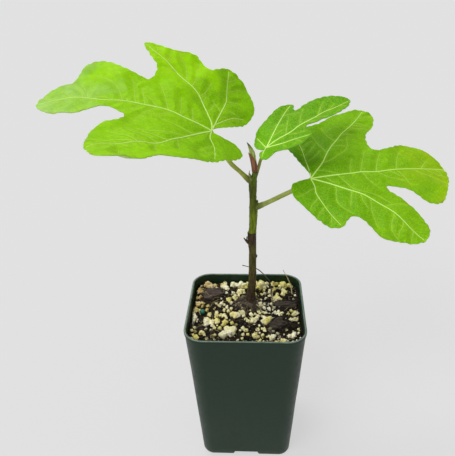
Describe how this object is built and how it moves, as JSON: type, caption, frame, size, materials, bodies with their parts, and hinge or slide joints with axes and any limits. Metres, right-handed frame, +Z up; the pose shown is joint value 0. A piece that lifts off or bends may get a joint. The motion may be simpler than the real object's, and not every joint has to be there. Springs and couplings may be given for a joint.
{
  "type": "potted peters honey fig",
  "caption": "Young potted fig tree: a woody cutting with broad lobed leaves on long petioles, standing in potting mix in a square tapered nursery pot.",
  "frame": {"origin": "middle of the flat underside of the pot", "axes": "+Z up along the pot's middle, +X to the right and -Y to the front, both square to the pot's sides"},
  "size_m": [0.1957, 0.138, 0.2223],
  "materials": {
    "green_plastic": "satin moulded plastic, dark green",
    "potting_mix": "matte, dark peat and bark with cream perlite",
    "stem_bark": "matte bark, olive green above and brown below",
    "petiole_skin": "satin, pale olive green",
    "leaf_blade": "soft satin, bright yellow-green with pale veins",
    "bud_skin": "satin, striped olive green",
    "stipule_skin": "matte, red-brown and papery"
  },
  "bodies": {
    "root": {"pot": "green_plastic", "potting_mix": "potting_mix", "stem": "stem_bark", "petiole_left": "petiole_skin", "petiole_right": "petiole_skin", "petiole_top": "petiole_skin", "blade_left": "leaf_blade", "blade_right": "leaf_blade", "blade_top": "leaf_blade", "terminal_bud": "bud_skin", "bud_stipule": "stipule_skin"}
  },
  "joints": []
}
